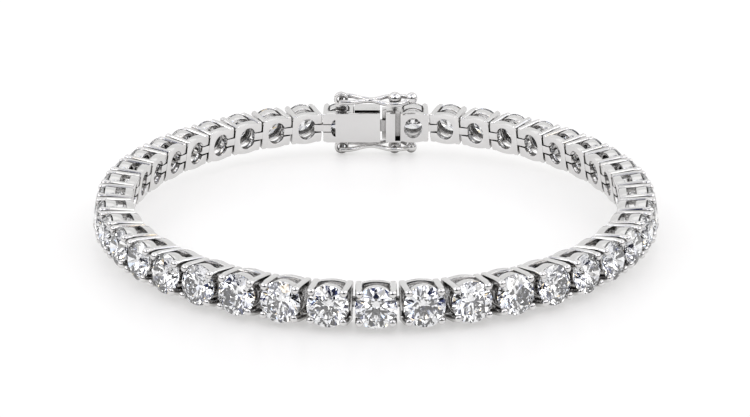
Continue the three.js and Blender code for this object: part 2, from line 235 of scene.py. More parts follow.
# patches on the tent: direction from the loop, inner and outer edge in degrees, grey
BACK_WALL = ((0.0, 1.0, 0.2), 50, 75, 0.92)
CAMERA_OPENING = ((0.0, -0.95, 0.31), 15, 22, 0.02)
LEFT_OPENING = ((-0.36, -0.92, 0.12), 11, 20, 0.02)
RIGHT_OPENING = ((0.36, -0.92, 0.12), 11, 20, 0.02)
TOP_LIGHT = ((0.0, 0.45, 0.90), 12, 20, 1.2)
SKY_PATCHES = [BACK_WALL, CAMERA_OPENING, LEFT_OPENING, RIGHT_OPENING, TOP_LIGHT]

# White gold in the open, the painted shade that darkens it deep in a recess, and how far that painted
# shade reaches, in metres
METAL_OPEN = (0.72, 0.713, 0.707, 1)
METAL_PAINTED_SHADE = (0.11, 0.105, 0.10, 1)
PAINTED_SHADE_REACH = 0.0011
PAINTED_SHADE_SAMPLES = 8
PAINTED_SHADE_RAMP = (0.25, 0.75)
# polishing haze, and hairline scratches that run round the chain
HAZE_SCALE = 420
HAZE_RANGE = (0.3, 0.7)
HAZE_ROUGHNESS = (0.10, 0.19)
HAIRLINE_SCALE = (900, 900, 9000)
HAIRLINE_STRENGTH = 0.05
HAIRLINE_DEPTH = 0.00002

# Diamond
DIAMOND_CLEAR = (1.0, 1.0, 1.0, 1)
# painted fire: a faint blue tint laid on the clear stone in patches, standing in for the coloured
# glints of dispersion
DIAMOND_PAINTED_FIRE = (0.97, 0.985, 1.0, 1)
DIAMOND_IOR = 2.417
FIRE_AND_POLISH_SCALE = 600
PAINTED_FIRE_RAMP = (0.35, 0.6)
POLISH_RANGE = (0.4, 0.8)
POLISH_ROUGHNESS = (0.0, 0.02)

# The floor: white acrylic on a light table, its half-width in metres
FLOOR_HALF = 2
FLOOR_TONE = (0.44, 0.44, 0.44, 1)
FLOOR_GLOW_TONE = (1, 0.99, 0.98, 1)
FLOOR_GLOW = 0.49
SHEEN_SCALE = 60
SHEEN_ROUGHNESS = (0.34, 0.44)


# Mesh building

def mesh_from(name, verts, faces):
    mesh = bpy.data.meshes.new(name)
    mesh.from_pydata([tuple(v) for v in verts], [], faces)
    mesh.validate()
    return mesh


def outward(mesh):
    work = bmesh.new()
    work.from_mesh(mesh)
    bmesh.ops.recalc_face_normals(work, faces=work.faces)
    work.to_mesh(mesh)
    work.free()
    return mesh


def prism(name, points, low, high, edge=EDGE):
    """An upright prism on a closed outline, its two rims rounded by edge."""
    work = bmesh.new()
    ring = [work.verts.new((x, y, low)) for x, y in points]
    floor = work.faces.new(ring)
    lifted = bmesh.ops.extrude_face_region(work, geom=[floor])
    upper = [item for item in lifted["geom"] if isinstance(item, bmesh.types.BMVert)]
    bmesh.ops.translate(work, verts=upper, vec=(0, 0, high - low))
    bmesh.ops.recalc_face_normals(work, faces=work.faces)
    if edge > 0:
        soften(work, edge)
    mesh = bpy.data.meshes.new(name)
    work.to_mesh(mesh)
    work.free()
    return mesh


def soften(work, edge):
    """Rounds the sharp edges of a mesh by edge."""
    sharp = []
    for item in work.edges:
        if len(item.link_faces) == 2 and item.calc_face_angle(0) > SHARP_ANGLE:
            sharp.append(item)
    bmesh.ops.bevel(
        work, geom=sharp, offset=edge, segments=2, profile=0.6, affect="EDGES", clamp_overlap=True
    )


def block(name, along, across, lift, edge=EDGE):
    """A box between two values along, across and up."""
    (x0, x1), (y0, y1) = along, across
    return prism(name, [(x0, y0), (x1, y0), (x1, y1), (x0, y1)], lift[0], lift[1], edge)


def lathe(name, profile, segments):
    """A closed profile of (radius, height) turned round the z axis; it doesn't touch the axis."""
    verts, faces = [], []
    count = len(profile)
    for i in range(segments):
        angle = 2 * math.pi * i / segments
        verts += [(r * math.cos(angle), r * math.sin(angle), z) for r, z in profile]
    for i in range(segments):
        j = (i + 1) % segments
        for k in range(count):
            n = (k + 1) % count
            faces.append((i * count + k, j * count + k, j * count + n, i * count + n))
    return outward(mesh_from(name, verts, faces))


def round_box_profile(inner, outer, low, high, corner):
    """A rounded rectangle as (radius, height) points, from its lower outer corner round."""
    points = []
    corners = [
        (outer - corner, low + corner, -90),
        (outer - corner, high - corner, 0),
        (inner + corner, high - corner, 90),
        (inner + corner, low + corner, 180),
    ]
    turn = 90 / (CORNER_POINTS - 1)
    for r, z, start in corners:
        for step in range(CORNER_POINTS):
            angle = math.radians(start + turn * step)
            points.append((r + corner * math.cos(angle), z + corner * math.sin(angle)))
    return points


def ball(name, radius, centre, segments=28, rings=18):
    work = bmesh.new()
    bmesh.ops.create_uvsphere(work, u_segments=segments, v_segments=rings, radius=radius)
    bmesh.ops.translate(work, verts=work.verts, vec=centre)
    mesh = bpy.data.meshes.new(name)
    work.to_mesh(mesh)
    work.free()
    return mesh


def rod(name, radius, start, end, segments=16):
    """A round rod between two points."""
    a, b = Vector(start), Vector(end)
    work = bmesh.new()
    length = (b - a).length
    bmesh.ops.create_cone(
        work, cap_ends=True, segments=segments, radius1=radius, radius2=radius, depth=length
    )
    turn = (b - a).to_track_quat("Z", "Y").to_matrix().to_4x4()
    bmesh.ops.transform(work, matrix=Matrix.Translation((a + b) / 2) @ turn, verts=work.verts)
    mesh = bpy.data.meshes.new(name)
    work.to_mesh(mesh)
    work.free()
    return mesh


def smooth_path(points, steps):
    """A Catmull-Rom curve through points, with steps pieces between two of them."""
    ends = [points[0] * 2 - points[1]] + points + [points[-1] * 2 - points[-2]]
    path = []
    for i in range(1, len(ends) - 2):
        a, b, c, d = ends[i - 1:i + 3]
        for step in range(steps):
            t = step / steps
            square = (2 * a - 5 * b + 4 * c - d) * t * t
            cube = (3 * b - a - 3 * c + d) * t ** 3
            path.append(0.5 * (2 * b + (c - a) * t + square + cube))
    path.append(points[-1])
    return path


def tube(name, path, radius, sides=14):
    """A round wire along a path, closed at both ends."""
    verts, faces = [], []
    side = Vector((0, 0, 1))
    for i, point in enumerate(path):
        before = path[max(i - 1, 0)]
        after = path[min(i + 1, len(path) - 1)]
        tangent = (after - before).normalized()
        side = (side - tangent * side.dot(tangent)).normalized()
        up = tangent.cross(side)
        for k in range(sides):
            angle = 2 * math.pi * k / sides
            verts.append(point + radius * (math.cos(angle) * side + math.sin(angle) * up))
    for i in range(len(path) - 1):
        for k in range(sides):
            n = (k + 1) % sides
            faces.append((i * sides + k, i * sides + n, (i + 1) * sides + n, (i + 1) * sides + k))
    faces.append(tuple(range(sides)))
    faces.append(tuple(range((len(path) - 1) * sides, len(path) * sides)))
    return outward(mesh_from(name, verts, faces))


def moved(mesh, matrix):
    """Moves a mesh by a matrix, keeping its faces outward where the matrix mirrors it."""
    mesh.transform(matrix)
    if matrix.determinant() < 0:
        mesh.flip_normals()
    return mesh


def mirrored(mesh, axis):
    copy = mesh.copy()
    scale = Matrix.Scale(-1, 4, axis)
    return moved(copy, scale)


def half_turn(mesh):
    return moved(mesh.copy(), Matrix.Rotation(math.pi, 4, "Z"))


def combine(name, meshes, operation="UNION"):
    """Joins the first mesh with the others, or cuts them from it, and gives the one solid."""
    objects = [bpy.data.objects.new(f"{name}_{i}", mesh) for i, mesh in enumerate(meshes)]
    for item in objects:
        bpy.context.scene.collection.objects.link(item)
    base = objects[0]
    for other in objects[1:]:
        modifier = base.modifiers.new("join", "BOOLEAN")
        modifier.operation = operation
        modifier.solver = "MANIFOLD"
        modifier.object = other
    graph = bpy.context.evaluated_depsgraph_get()
    result = bpy.data.meshes.new_from_object(base.evaluated_get(graph))
    result.name = name
    for item in objects:
        bpy.data.objects.remove(item)
    return result


# The round brilliant

def brilliant():
    """A round brilliant of 57 facets with its girdle, table towards +z."""
    verts, faces = [], []

    def point(reach, degrees, height):
        angle = math.radians(degrees)
        verts.append((reach * math.cos(angle), reach * math.sin(angle), height))
        return len(verts) - 1

    crown = math.tan(CROWN_ANGLE)
    pavilion = math.tan(PAVILION_ANGLE)
    cos_half = math.cos(math.radians(HALF_FACET))
    table_height = GIRDLE_HALF + (1 - TABLE_SHARE) * crown
    star_height = GIRDLE_HALF + (1 - STAR_SHARE * cos_half) * crown
    lower_height = -GIRDLE_HALF - (1 - LOWER_SHARE * cos_half) * pavilion
    mains = [FACET_TURN * i for i in range(STONE_FOLD)]
    table = [point(TABLE_SHARE, turn, table_height) for turn in mains]
    stars = [point(STAR_SHARE, turn + HALF_FACET, star_height) for turn in mains]
    lowers = [point(LOWER_SHARE, turn + HALF_FACET, lower_height) for turn in mains]
    culet = point(0, 0, -GIRDLE_HALF - pavilion)
    count = 2 * STONE_FOLD * GIRDLE_ARC_STEPS
    upper, lower = [], []
    for i in range(count):
        within = (i % GIRDLE_ARC_STEPS) / GIRDLE_ARC_STEPS
        off = math.radians(HALF_FACET) * (within - 0.5)
        sag = math.cos(off) - math.cos(math.radians(HALF_FACET / 2))
        degrees = 360 * i / count
        upper.append(point(1, degrees, GIRDLE_HALF - sag * GIRDLE_SCALLOP))
        lower.append(point(1, degrees, -GIRDLE_HALF + sag * GIRDLE_SCALLOP))
    faces.append(tuple(table))
    for i in range(STONE_FOLD):
        n = (i + 1) % STONE_FOLD
        p = (i - 1) % STONE_FOLD
        start = 2 * i * GIRDLE_ARC_STEPS
        half = start + GIRDLE_ARC_STEPS
        end = half + GIRDLE_ARC_STEPS
        faces.append((table[i], stars[i], table[n]))
        faces.append((table[i], stars[p], upper[start], stars[i]))
        faces.append((stars[i], *[upper[k % count] for k in range(start, half + 1)]))
        faces.append((stars[i], *[upper[k % count] for k in range(half, end + 1)]))
        faces.append((culet, lowers[i], lower[start], lowers[p]))
        faces.append((lowers[i], *[lower[k % count] for k in range(half, start - 1, -1)]))
        faces.append((lowers[i], *[lower[k % count] for k in range(end, half - 1, -1)]))
    for i in range(count):
        n = (i + 1) % count
        faces.append((upper[i], lower[i], lower[n], upper[n]))
    mesh = outward(mesh_from("brilliant", verts, faces))
    turn = Matrix.Rotation(math.radians(HALF_FACET), 4, "Z")
    place = Matrix.Translation((0, 0, GIRDLE_LIFT)) @ Matrix.Scale(STONE_RADIUS, 4) @ turn
    return moved(mesh, place)


# One link's metal

def arc(centre, radius, start, end, steps):
    points = []
    for step in range(steps + 1):
        angle = math.radians(start + (end - start) * step / steps)
        points.append((centre[0] + radius * math.cos(angle), centre[1] + radius * math.sin(angle)))
    return points


def plate_edge(low_side):
    """The plate's outline over its upper half, from low_side on the right to low_side on the left."""
    x = PLATE_WIDTH / 2
    top = PLATE_HEIGHT / 2 - PLATE_BULGE
    right = arc((x - PLATE_CORNER, top - PLATE_CORNER), PLATE_CORNER, 0, 90, PLATE_CORNER_STEPS)
    bow = []
    for step in range(1, PLATE_BOW_STEPS):
        along = (x - PLATE_CORNER) * (1 - 2 * step / PLATE_BOW_STEPS)
        bow.append((along, top + PLATE_BULGE * (1 - (along / (x - PLATE_CORNER)) ** 2)))
    left = [(-px, py) for px, py in reversed(right)]
    return [(x, low_side)] + right + bow + left + [(-x, low_side)]


def hole_arc(start, end, steps):
    points = []
    for step in range(steps + 1):
        angle = math.radians(start + (end - start) * step / steps)
        points.append((HOLE_WIDTH / 2 * math.cos(angle), HOLE_HEIGHT / 2 * math.sin(angle)))
    return points


def base_plate(sockets):
    """The base plate with its oval hole, open towards +x for one socket or to both sides for two."""
    mouth = math.degrees(math.asin(SLOT_HALF / (HOLE_HEIGHT / 2)))
    if sockets == 2:
        upper = plate_edge(SLOT_HALF) + hole_arc(180 - mouth, mouth, HOLE_STEPS // 2)
        half = prism("plate_half", upper, 0, PLATE_THICKNESS)
        return [half, half_turn(half)]
    over = plate_edge(SLOT_HALF)
    under = [(-px, -py) for px, py in plate_edge(SLOT_HALF)]
    hole = hole_arc(-mouth, mouth - 360, OPEN_HOLE_STEPS)
    return [prism("plate", over + under + hole, 0, PLATE_THICKNESS)]


def closed_plate():
    """The base plate of the link on the tongue's side, whole all round its hole."""
    outline = plate_edge(0)
    under = [(-px, -py) for px, py in outline]
    whole = prism("plate_whole", outline[:-1] + under[:-1], 0, PLATE_THICKNESS)
    hole = hole_arc(0, 360 - 360 / HOLE_STEPS, HOLE_STEPS - 1)
    cutter = prism("hole", hole, -CUT_PAST, PLATE_THICKNESS + CUT_PAST, 0)
    return combine("plate_whole", [whole, cutter], "DIFFERENCE")


def claw(along, across):
    """One claw from the plate to its bead over the girdle, from rings of rounded squares."""
    verts, faces = [], []
    reach = math.hypot(along, across)
    for lift, half, squareness, lean in CLAW_SECTIONS:
        cx = along * (1 - lean / reach)
        spread = math.copysign(CLAW_SPREAD * (1 - lift / CLAW_TOP), across)
        cy = across * (1 - lean / reach) + spread
        for k in range(CLAW_POINTS):
            angle = 2 * math.pi * (k + 0.5) / CLAW_POINTS
            c, s = math.cos(angle), math.sin(angle)
            grow = (abs(c) ** squareness + abs(s) ** squareness) ** (-1 / squareness)
            verts.append((cx + half * grow * c, cy + half * grow * s, lift))
    rings = len(CLAW_SECTIONS)
    for i in range(rings - 1):
        for k in range(CLAW_POINTS):
            n = (k + 1) % CLAW_POINTS
            a, b = i * CLAW_POINTS, (i + 1) * CLAW_POINTS
            faces.append((a + k, a + n, b + n, b + k))
    faces.append(tuple(reversed(range(CLAW_POINTS))))
    lean = CLAW_SECTIONS[-1][3]
    verts.append((along * (1 - lean / reach), across * (1 - lean / reach), CLAW_TOP))
    last = (rings - 1) * CLAW_POINTS
    for k in range(CLAW_POINTS):
        faces.append((last + k, last + (k + 1) % CLAW_POINTS, len(verts) - 1))
    return outward(mesh_from("claw", verts, faces))


def rail_profile():
    """The gallery rail's section: a round-edged band, its top slanted as a seat below the stone."""
    band = round_box_profile(RAIL_INNER, RAIL_OUTER, RAIL_LOW, RAIL_SEAT, RAIL_ROUNDING)
    lower_outer, lower_inner = band[:CORNER_POINTS], band[-CORNER_POINTS:]
    rim = [(RAIL_OUTER - inward, RAIL_LIP - down) for inward, down in RAIL_RIM]
    seat = [(RAIL_INNER + outward_by, RAIL_SEAT - down) for outward_by, down in RAIL_SEAT_EDGE]
    return lower_outer + rim + seat + lower_inner


def basket():
    """The four claws and the gallery rail."""
    x, y = CLAW_ALONG / 2, CLAW_ACROSS / 2
    claws = [claw(x, y), claw(-x, y), claw(-x, -y), claw(x, -y)]
    rail = lathe("rail", rail_profile(), RAIL_STEPS)
    return [rail] + claws


def pin():
    reach = SLOT_HALF + OVERLAP
    return rod("pin", PIN_RADIUS, (PIN_ALONG, -reach, PIN_LINE), (PIN_ALONG, reach, PIN_LINE))


def tab():
    """The bored tab that goes into the next link's socket, on the side of -x."""
    run = (-TAB_END, OVERLAP - PLATE_WIDTH / 2)
    bar = block("tab", run, (-TAB_HALF, TAB_HALF), (TAB_RECESS, PLATE_THICKNESS - TAB_RECESS))
    ends = (-EYE_ALONG, -PITCH, PIN_LINE), (-EYE_ALONG, PITCH, PIN_LINE)
    bore = rod("bore", BORE_RADIUS, *ends, segments=20)
    return combine("tab", [bar, bore], "DIFFERENCE")


def link_metal():
    return combine("link_metal", base_plate(1) + basket() + [pin(), tab()])


def front_metal():
    return combine("front_metal", basket() + base_plate(2) + [pin(), half_turn(pin())])


# The clasp's metal

def both_edges(meshes):
    return meshes + [mirrored(mesh, (0, 1, 0)) for mesh in meshes]


def shifted(meshes, along):
    return [moved(mesh, Matrix.Translation((along, 0, 0))) for mesh in meshes]


def ear():
    """The upper ear: a ring for the catch's bar, with its foot and the lug that carries it."""
    half = EAR_THICKNESS / 2
    profile = round_box_profile(EAR_HOLE_RADIUS, EAR_RADIUS, -half, half, EAR_ROUNDING)
    centre = Matrix.Translation((EAR_ALONG, EAR_REACH, EAR_LINE))
    ring = moved(lathe("ear", profile, EAR_STEPS), centre)
    low, high = EAR_LINE - half, EAR_LINE + half
    top = PLATE_HEIGHT / 2
    sides = (EAR_ALONG - LUG_HALF, EAR_ALONG + LUG_HALF)
    foot_run = (top - OVERLAP, EAR_REACH - EAR_HOLE_RADIUS - OVERLAP)
    foot = block("ear_foot", sides, foot_run, (low, high))
    lug = block("ear_lug", sides, (top - LUG_DEPTH, top), (PLATE_THICKNESS - OVERLAP, high))
    return [ring, foot, lug]


def case_outline():
    """The inner plate of the clasp's box, rounded at its far end as a link's plate is."""
    end = END_STONE + PLATE_WIDTH / 2
    top = PLATE_HEIGHT / 2
    corner = PLATE_CORNER
    far = arc((end - corner, top - corner), corner, 0, 90, PLATE_CORNER_STEPS)
    under = [(x, -y) for x, y in reversed(far)]
    return far + [(BOX_MOUTH, top), (BOX_MOUTH, -top)] + under


def case_slot():
    """The cutter of the half-oval slot beside the box, its round side towards the chain."""
    points = []
    for step in range(CASE_SLOT_STEPS + 1):
        angle = math.radians(180 * step / CASE_SLOT_STEPS - 90)
        along = CASE_SLOT["along"] + CASE_SLOT["width"] * math.cos(angle)
        points.append((along, CASE_SLOT["height"] / 2 * math.sin(angle)))
    return prism("slot", points, -CUT_PAST, PLATE_THICKNESS + OVERLAP, 0)


def tab_line():
    """The cutter of the line along one side of the tab, from the slot to the plate's end."""
    start = CASE_SLOT["along"] + TAB_LINE_START * CASE_SLOT["width"]
    run = (start, END_STONE + PLATE_WIDTH)
    lift = (-CUT_PAST, TAB_LINE_DEPTH)
    return block("tab_line", run, (TAB_HALF, TAB_HALF + TAB_LINE), lift, 0)


def box_metal():
    """The end link on the box's side with the hollow box and both ears."""
    top = PLATE_HEIGHT / 2
    case = prism("case", case_outline(), 0, PLATE_THICKNESS, BODY_EDGE)
    chest = block("chest", (BOX_MOUTH, BOX_END), (-top, top), (0.0, BOX_DEPTH), BODY_EDGE)
    body = combine("box", [case, chest])
    inside = top - BOX_WALL
    chamber_run = (BOX_MOUTH - CUT_PAST, BOX_END - BOX_WALL)
    chamber_lift = (BOX_WALL, BOX_DEPTH - BOX_WALL)
    chamber = block("chamber", chamber_run, (-inside, inside), chamber_lift, 0)
    slit_run = (BOX_MOUTH - CUT_PAST, BOX_MOUTH + BOX_SLIT["length"])
    slit_lift = (BOX_SLIT["low"], BOX_SLIT["high"])
    slit = block("slit", slit_run, (top - 1.5 * BOX_WALL, top + CUT_PAST), slit_lift, 0)
    cutters = [chamber, slit, case_slot()] + both_edges([tab_line()])
    body = combine("box", [body] + cutters, "DIFFERENCE")
    end_link = shifted(basket() + [half_turn(tab())], END_STONE)
    return combine("box_metal", [body] + end_link + both_edges(ear()))


def ball_post():
    foot = (POST_ALONG, PLATE_HEIGHT / 2 - OVERLAP, EAR_LINE)
    bead = (POST_ALONG, POST_BEAD_REACH, EAR_LINE)
    stem = rod("stem", POST_RADIUS, foot, bead, segments=20)
    return [stem, ball("post_bead", POST_BEAD_RADIUS, bead)]


def spring_tongue():
    """The folded spring: a strip into the box and back towards its mouth, on a slant."""
    low = BOX_WALL + TONGUE_CLEARANCE
    far = BOX_END - BOX_WALL - TONGUE_CLEARANCE
    high = BOX_DEPTH - BOX_WALL - TONGUE_CLEARANCE
    t = TONGUE_THICKNESS
    profile = [
        (HEAD_START - OVERLAP, low),
        (far - t / 2, low),
        (far, low + t),
        (BOX_MOUTH + t, high),
        (BOX_MOUTH + t / 2, high - t / 2),
        (far - 1.5 * t, low + t),
        (HEAD_START - OVERLAP, low + t),
    ]
    mesh = prism("tongue", profile, -TONGUE_HALF, TONGUE_HALF, TONGUE_EDGE)
    return moved(mesh, Matrix.Rotation(math.pi / 2, 4, "X"))


def tongue_metal():
    """The end link on the tongue's side with the head, its step, the spring and both posts."""
    top = PLATE_HEIGHT / 2
    groove_start = HEAD_START - HEAD_WIDTH
    groove_end = groove_start - GROOVE_WIDTH
    head_run = (groove_end - OVERLAP, HEAD_START)
    head = block("head", head_run, (-top, top), (0, HEAD_DEPTH), BODY_EDGE)
    stop_run = (HEAD_START - OVERLAP, HEAD_START + STOP_LENGTH)
    stop = block("stop", stop_run, (-top, top), (STOP_LIFT, HEAD_DEPTH), STOP_EDGE)
    plate = shifted([closed_plate()], -END_STONE)
    end_link = shifted([tab()] + basket(), -END_STONE)
    body = combine("head", plate + [head, stop] + end_link)
    groove_reach = (GROOVE_FLOOR - top, top + CUT_PAST)
    groove_lift = (-CUT_PAST, GROOVE_DEPTH)
    groove = block("groove", (groove_end, groove_start), groove_reach, groove_lift, 0)
    body = combine("head", [body, groove], "DIFFERENCE")
    return combine("tongue_metal", [body, spring_tongue()] + both_edges(ball_post()))


# The safety catches

def strand(side):
    """One of a catch's two wires, from the ear past the bead's side to the end ball."""
    span = EAR_ALONG - POST_ALONG
    points = []
    for share, aside, drop in STRAND_PLACES:
        along = EAR_ALONG - share * span
        points.append(Vector((along, EAR_REACH - drop, EAR_LINE + side * aside)))
    last_aside = side * 0.3 * WIRE_RADIUS
    points.append(Vector((CATCH_BALL_ALONG, CATCH_BALL_REACH, EAR_LINE + last_aside)))
    return tube("strand", smooth_path(points, STRAND_STEPS), WIRE_RADIUS)


def catch_metal():
    reach = CATCH_SIDE + WIRE_RADIUS / 2
    ends = (EAR_ALONG, EAR_REACH, EAR_LINE - reach), (EAR_ALONG, EAR_REACH, EAR_LINE + reach)
    bar = rod("bar", WIRE_RADIUS, *ends)
    end = ball("catch_ball", CATCH_BALL_RADIUS, (CATCH_BALL_ALONG, CATCH_BALL_REACH, EAR_LINE))
    return combine("catch_metal", [bar, strand(1), strand(-1), end])


# Where each piece goes

def oval_point(depth, angle):
    return Vector((OVAL_RATIO * depth * math.sin(angle), -depth * math.cos(angle)))


def near(point, start):
    """Whether a point is less than a pitch from start."""
    return (point - start).length < PITCH


def solve(low, high, too_low):
    """Halves a span until it is on the value where too_low turns false."""
    for _ in range(SOLVE_STEPS):
        middle = (low + high) / 2
        if too_low(middle):
            low = middle
        else:
            high = middle
    return (low + high) / 2


def pin_walk(depth):
    """The pins along the right half of an oval of that half-depth, a pitch apart."""
    angle = solve(0, math.pi / 2, lambda a: oval_point(depth, a).x < PIN_ALONG)
    pins = [oval_point(depth, angle)]
    for _ in range(LINKS_PER_SIDE):
        start = pins[-1]
        angle = solve(angle, angle + 1, lambda a: near(oval_point(depth, a), start))
        pins.append(oval_point(depth, angle))
    return pins


def closing_depth():
    """The half-depth of the oval whose last pins meet the clasp."""
    most = LINKS_PER_SIDE * PITCH

    def short(depth):
        last = pin_walk(depth)[-1]
        return last.x < CLASP_EYE and last.y > 0

    return solve(most / 4, most, short)


def loop_frame():
    """The loop's frame in the world, from the two catch hinges on the leaning clasp."""
    joints = {joint["name"]: joint for joint in frame["record"]["behaviour"]["joints"]}
    top = Vector(joints["catch_top_hinge"]["pos_m"])
    bottom = Vector(joints["catch_bottom_hinge"]["pos_m"])
    out = Vector(joints["catch_bottom_hinge"]["axis"])
    right = Vector((1, 0, 0))
    back = Matrix.Rotation(-FACE_LEAN, 3, "X") @ out
    pin_middle = (top + bottom) / 2 - out * (EAR_LINE - PIN_LINE) * MM + right * EAR_ALONG * MM
    matrix = Matrix((right, back, right.cross(back))).transposed().to_4x4()
    matrix.translation = pin_middle - back * pin_walk(closing_depth())[-1].y * MM
    return matrix @ Matrix.Scale(MM, 4)


def placement(x, y, heading):
    """A place on the loop for a piece's pin line, with the piece's face leaning up."""
    turn = Matrix.Rotation(heading, 4, "Z") @ Matrix.Rotation(math.pi / 2 - FACE_LEAN, 4, "X")
    return Matrix.Translation((x, y, 0)) @ turn @ Matrix.Translation((0, 0, -PIN_LINE))


def link_places():
    """Each chain node's name, with its placement; the left half is turned to mirror the right."""
    pins = pin_walk(closing_depth())
    places = [("link_front", placement(0, pins[0].y, 0))]
    turn = Matrix.Rotation(math.pi, 4, "Z")
    for k in range(1, LINKS_PER_SIDE + 1):
        along = (pins[k] - pins[k - 1]).normalized()
        middle = pins[k - 1] + along * EYE_ALONG
        heading = math.atan2(along.y, along.x)
        places.append((f"link_right_{k:02d}", placement(middle.x, middle.y, heading)))
        places.append((f"link_left_{k:02d}", placement(-middle.x, middle.y, -heading) @ turn))
    return places


# Materials

def new_material(name):
    material = bpy.data.materials.new(name)
    material.use_nodes = True
    nodes = material.node_tree.nodes
    return material, nodes, material.node_tree.links, nodes["Principled BSDF"]


def map_range(nodes, before, after):
    node = nodes.new("ShaderNodeMapRange")
    node.inputs["From Min"].default_value, node.inputs["From Max"].default_value = before
    node.inputs["To Min"].default_value, node.inputs["To Max"].default_value = after
    return node


def two_colours(nodes, positions, colours):
    """A colour ramp of two colours."""
    node = nodes.new("ShaderNodeValToRGB")
    for stop, position, colour in zip(node.color_ramp.elements, positions, colours):
        stop.position = position
        stop.color = colour
    return node


def white_gold():
    """Polished white gold: bright, with painted shade darkening its recesses, and with polishing haze
    and hairlines.
    """
    material, nodes, links, shader = new_material("white_gold")
    shader.inputs["Metallic"].default_value = 1.0
    where = nodes.new("ShaderNodeTexCoord")
    haze = nodes.new("ShaderNodeTexNoise")
    haze.inputs["Scale"].default_value = HAZE_SCALE
    haze.inputs["Detail"].default_value = 3
    links.new(where.outputs["Object"], haze.inputs["Vector"])
    gloss = map_range(nodes, HAZE_RANGE, HAZE_ROUGHNESS)
    links.new(haze.outputs["Fac"], gloss.inputs["Value"])
    links.new(gloss.outputs["Result"], shader.inputs["Roughness"])
    stretch = nodes.new("ShaderNodeMapping")
    stretch.inputs["Scale"].default_value = HAIRLINE_SCALE
    links.new(where.outputs["Object"], stretch.inputs["Vector"])
    lines = nodes.new("ShaderNodeTexNoise")
    lines.inputs["Scale"].default_value = 1
    lines.inputs["Detail"].default_value = 2
    links.new(stretch.outputs["Vector"], lines.inputs["Vector"])
    bump = nodes.new("ShaderNodeBump")
    bump.inputs["Strength"].default_value = HAIRLINE_STRENGTH
    bump.inputs["Distance"].default_value = HAIRLINE_DEPTH
    links.new(lines.outputs["Fac"], bump.inputs["Height"])
    links.new(bump.outputs["Normal"], shader.inputs["Normal"])
    # painted shade: ambient occlusion blends the base colour towards a near-black grey in recesses,
    # creases and the gaps between parts
    painted_recess_shade = nodes.new("ShaderNodeAmbientOcclusion")
    painted_recess_shade.samples = PAINTED_SHADE_SAMPLES
    painted_recess_shade.inputs["Distance"].default_value = PAINTED_SHADE_REACH
    shade = two_colours(nodes, PAINTED_SHADE_RAMP, (METAL_PAINTED_SHADE, METAL_OPEN))
    links.new(painted_recess_shade.outputs["AO"], shade.inputs["Fac"])
    links.new(shade.outputs["Color"], shader.inputs["Base Color"])
    return material


def diamond():
    """Clear diamond with painted fire, faint blue patches that stand in for the coloured glints of
    dispersion, and a polish that is a touch softer in places.
    """
    material, nodes, links, shader = new_material("diamond")
    where = nodes.new("ShaderNodeTexCoord")
    fire_and_polish = nodes.new("ShaderNodeTexNoise")
    fire_and_polish.inputs["Scale"].default_value = FIRE_AND_POLISH_SCALE
    fire_and_polish.inputs["Detail"].default_value = 1
    links.new(where.outputs["Object"], fire_and_polish.inputs["Vector"])
    # painted fire: the noise tints the clear stone faint blue in patches; the same noise also softens
    # the polish
    painted_fire_tint = two_colours(nodes, PAINTED_FIRE_RAMP, (DIAMOND_PAINTED_FIRE, DIAMOND_CLEAR))
    links.new(fire_and_polish.outputs["Fac"], painted_fire_tint.inputs["Fac"])
    links.new(painted_fire_tint.outputs["Color"], shader.inputs["Base Color"])
    polish = map_range(nodes, POLISH_RANGE, POLISH_ROUGHNESS)
    links.new(fire_and_polish.outputs["Fac"], polish.inputs["Value"])
    links.new(polish.outputs["Result"], shader.inputs["Roughness"])
    shader.inputs["IOR"].default_value = DIAMOND_IOR
    shader.inputs["Transmission Weight"].default_value = 1.0
    return material


def floor_material():
    """White acrylic lit from below, with an uneven satin sheen."""
    material, nodes, links, shader = new_material("studio_floor")
    shader.inputs["Base Color"].default_value = FLOOR_TONE
    shader.inputs["Emission Color"].default_value = FLOOR_GLOW_TONE
    shader.inputs["Emission Strength"].default_value = FLOOR_GLOW
    where = nodes.new("ShaderNodeTexCoord")
    sheen = nodes.new("ShaderNodeTexNoise")
    sheen.inputs["Scale"].default_value = SHEEN_SCALE
    links.new(where.outputs["Object"], sheen.inputs["Vector"])
    rough = map_range(nodes, (0, 1), SHEEN_ROUGHNESS)
    links.new(sheen.outputs["Fac"], rough.inputs["Value"])
    links.new(rough.outputs["Result"], shader.inputs["Roughness"])
    return material


METAL = white_gold()
GEM = diamond()


# Pieces

def add_piece(name, mesh, matrix, material, body, node=None, crease=None):
    """Adds a copy of a mesh as a piece on a body: smooth up to the crease angle, or flat."""
    copy = mesh.copy()
    copy.name = name
    moved(copy, matrix)
    copy.materials.clear()
    copy.materials.append(material)
    if crease is None:
        copy.shade_flat()
    else:
        copy.shade_smooth()
        copy.set_sharp_from_angle(angle=crease)
    piece = bpy.data.objects.new(name, copy)
    bpy.context.scene.collection.objects.link(piece)
    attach(piece, body)
    if node:
        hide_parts(node)
    return piece


def add_metal(name, mesh, matrix, body, node):
    return add_piece(name, mesh, matrix, METAL, body, node, SMOOTH_ANGLE)


def add_stone(name, mesh, matrix):
    return add_piece(name, mesh, matrix, GEM, "bracelet")


def build_chain(loop, gem):
    regular = link_metal()
    front = front_metal()
    for node, place in link_places():
        metal = front if node == "link_front" else regular
        add_metal(node.replace("link", "setting"), metal, loop @ place, "bracelet", node)
        add_stone(node.replace("link", "stone"), gem, loop @ place)


